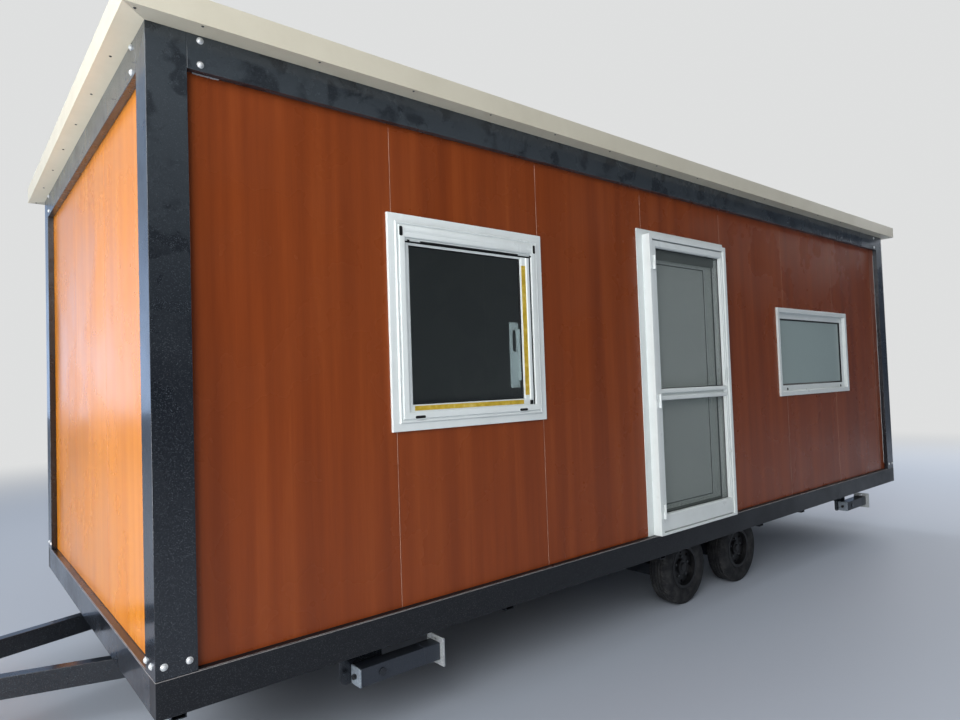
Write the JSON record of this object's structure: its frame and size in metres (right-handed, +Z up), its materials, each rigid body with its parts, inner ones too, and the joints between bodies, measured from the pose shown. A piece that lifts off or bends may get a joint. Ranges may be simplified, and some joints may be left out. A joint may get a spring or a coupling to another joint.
{
  "type": "portable site cabin",
  "caption": "Portable site cabin of sandwich panels in a steel frame, with screened door, windows, tandem axles, steady legs and a towing frame.",
  "frame": {"origin": "on the ground under the middle of the whole object", "axes": "+X along the cabin away from the towing eye, +Y away from the side with the door, +Z up"},
  "size_m": [8.7634, 3.124, 3.183],
  "materials": {
    "anthracite_steel": "semi-gloss anthracite paint",
    "wood_grain_laminate": "satin reddish-brown wood-grain laminate, vertical grain",
    "cream_sheet": "satin cream coating",
    "white_profile": "satin white coating",
    "zinc_plated_steel": "zinc plated",
    "tyre_rubber": "matte black rubber",
    "floor_board": "plain sealed floor board",
    "window_pane": "clear float glass",
    "fly_screen": "grey fly screen",
    "door_panel": "satin light grey coating"
  },
  "bodies": {
    "cabin": {"chassis_rails": "anthracite_steel", "cross_beams": "anthracite_steel", "drawbar_arm_near": "anthracite_steel", "drawbar_arm_far": "anthracite_steel", "towing_eye": "zinc_plated_steel", "nose_support": "zinc_plated_steel", "axle_beams": "anthracite_steel", "leg_brackets": "anthracite_steel", "side_sills": "anthracite_steel", "end_sills": "anthracite_steel", "floor_joists": "anthracite_steel", "floor_deck": "floor_board", "corner_posts": "anthracite_steel", "side_top_beams": "anthracite_steel", "end_top_beams": "anthracite_steel", "roof_panels": "cream_sheet", "roof_fascia_sides": "cream_sheet", "roof_fascia_ends": "cream_sheet", "front_wall_left": "wood_grain_laminate", "front_wall_over_door": "wood_grain_laminate", "front_wall_right": "wood_grain_laminate", "back_wall": "wood_grain_laminate", "drawbar_end_wall": "wood_grain_laminate", "rear_end_wall": "wood_grain_laminate", "large_window_frame": "white_profile", "large_window_sash": "white_profile", "small_window_frame": "white_profile", "small_window_sash": "white_profile", "window_glass": "window_pane", "door_surround": "white_profile", "door_lining": "white_profile", "screen_hinge_pins": "white_profile", "lining_hinge_pins": "zinc_plated_steel"},
    "screen_door": {"screen_door_frame": "white_profile", "screen_door_mesh": "fly_screen", "screen_hinge_leaves": "white_profile"},
    "inner_door": {"inner_door_leaf": "door_panel", "inner_hinge_leaves": "zinc_plated_steel"},
    "wheel_front_near": {"tyre_front_near": "tyre_rubber", "rim_front_near": "anthracite_steel"},
    "wheel_front_far": {"tyre_front_far": "tyre_rubber", "rim_front_far": "anthracite_steel"},
    "wheel_rear_near": {"tyre_rear_near": "tyre_rubber", "rim_rear_near": "anthracite_steel"},
    "wheel_rear_far": {"tyre_rear_far": "tyre_rubber", "rim_rear_far": "anthracite_steel"},
    "steady_front_near": {"leg_front_near": "anthracite_steel"},
    "steady_front_far": {"leg_front_far": "anthracite_steel"},
    "steady_rear_near": {"leg_rear_near": "anthracite_steel"},
    "steady_rear_far": {"leg_rear_far": "anthracite_steel"},
    "steady_foot_front_near": {"foot_front_near": "zinc_plated_steel"},
    "steady_foot_front_far": {"foot_front_far": "zinc_plated_steel"},
    "steady_foot_rear_near": {"foot_rear_near": "zinc_plated_steel"},
    "steady_foot_rear_far": {"foot_rear_far": "zinc_plated_steel"}
  },
  "joints": [
    {"name": "screen_door_hinge", "type": "hinge", "parent": "cabin", "child": "screen_door", "pos_m": [0.1322, -1.509, 1.48], "axis": [0, 0, -1], "range_deg": [0, 110]},
    {"name": "inner_door_hinge", "type": "hinge", "parent": "cabin", "child": "inner_door", "pos_m": [0.14419, -1.351, 1.48], "axis": [0, 0, 1], "range_deg": [0, 95]},
    {"name": "spin_front_near", "type": "hinge", "parent": "cabin", "child": "wheel_front_near", "pos_m": [0.6697, -1.2125, 0.265], "axis": [0, 1, 0], "continuous": true},
    {"name": "spin_front_far", "type": "hinge", "parent": "cabin", "child": "wheel_front_far", "pos_m": [0.6697, 1.2125, 0.265], "axis": [0, 1, 0], "continuous": true},
    {"name": "spin_rear_near", "type": "hinge", "parent": "cabin", "child": "wheel_rear_near", "pos_m": [1.42769, -1.2125, 0.265], "axis": [0, 1, 0], "continuous": true},
    {"name": "spin_rear_far", "type": "hinge", "parent": "cabin", "child": "wheel_rear_far", "pos_m": [1.42769, 1.2125, 0.265], "axis": [0, 1, 0], "continuous": true},
    {"name": "swing_front_near", "type": "hinge", "parent": "cabin", "child": "steady_front_near", "pos_m": [-1.9803, -1.37, 0.35], "axis": [0, 1, 0], "range_deg": [0, 90]},
    {"name": "swing_front_far", "type": "hinge", "parent": "cabin", "child": "steady_front_far", "pos_m": [-1.9803, 1.37, 0.35], "axis": [0, 1, 0], "range_deg": [0, 90]},
    {"name": "swing_rear_near", "type": "hinge", "parent": "cabin", "child": "steady_rear_near", "pos_m": [3.33969, -1.37, 0.35], "axis": [0, 1, 0], "range_deg": [0, 90]},
    {"name": "swing_rear_far", "type": "hinge", "parent": "cabin", "child": "steady_rear_far", "pos_m": [3.33969, 1.37, 0.35], "axis": [0, 1, 0], "range_deg": [0, 90]},
    {"name": "extend_front_near", "type": "slide", "parent": "steady_front_near", "child": "steady_foot_front_near", "axis": [1, 0, 0], "range_m": [0, 0.13]},
    {"name": "extend_front_far", "type": "slide", "parent": "steady_front_far", "child": "steady_foot_front_far", "axis": [1, 0, 0], "range_m": [0, 0.13]},
    {"name": "extend_rear_near", "type": "slide", "parent": "steady_rear_near", "child": "steady_foot_rear_near", "axis": [1, 0, 0], "range_m": [0, 0.13]},
    {"name": "extend_rear_far", "type": "slide", "parent": "steady_rear_far", "child": "steady_foot_rear_far", "axis": [1, 0, 0], "range_m": [0, 0.13]}
  ]
}
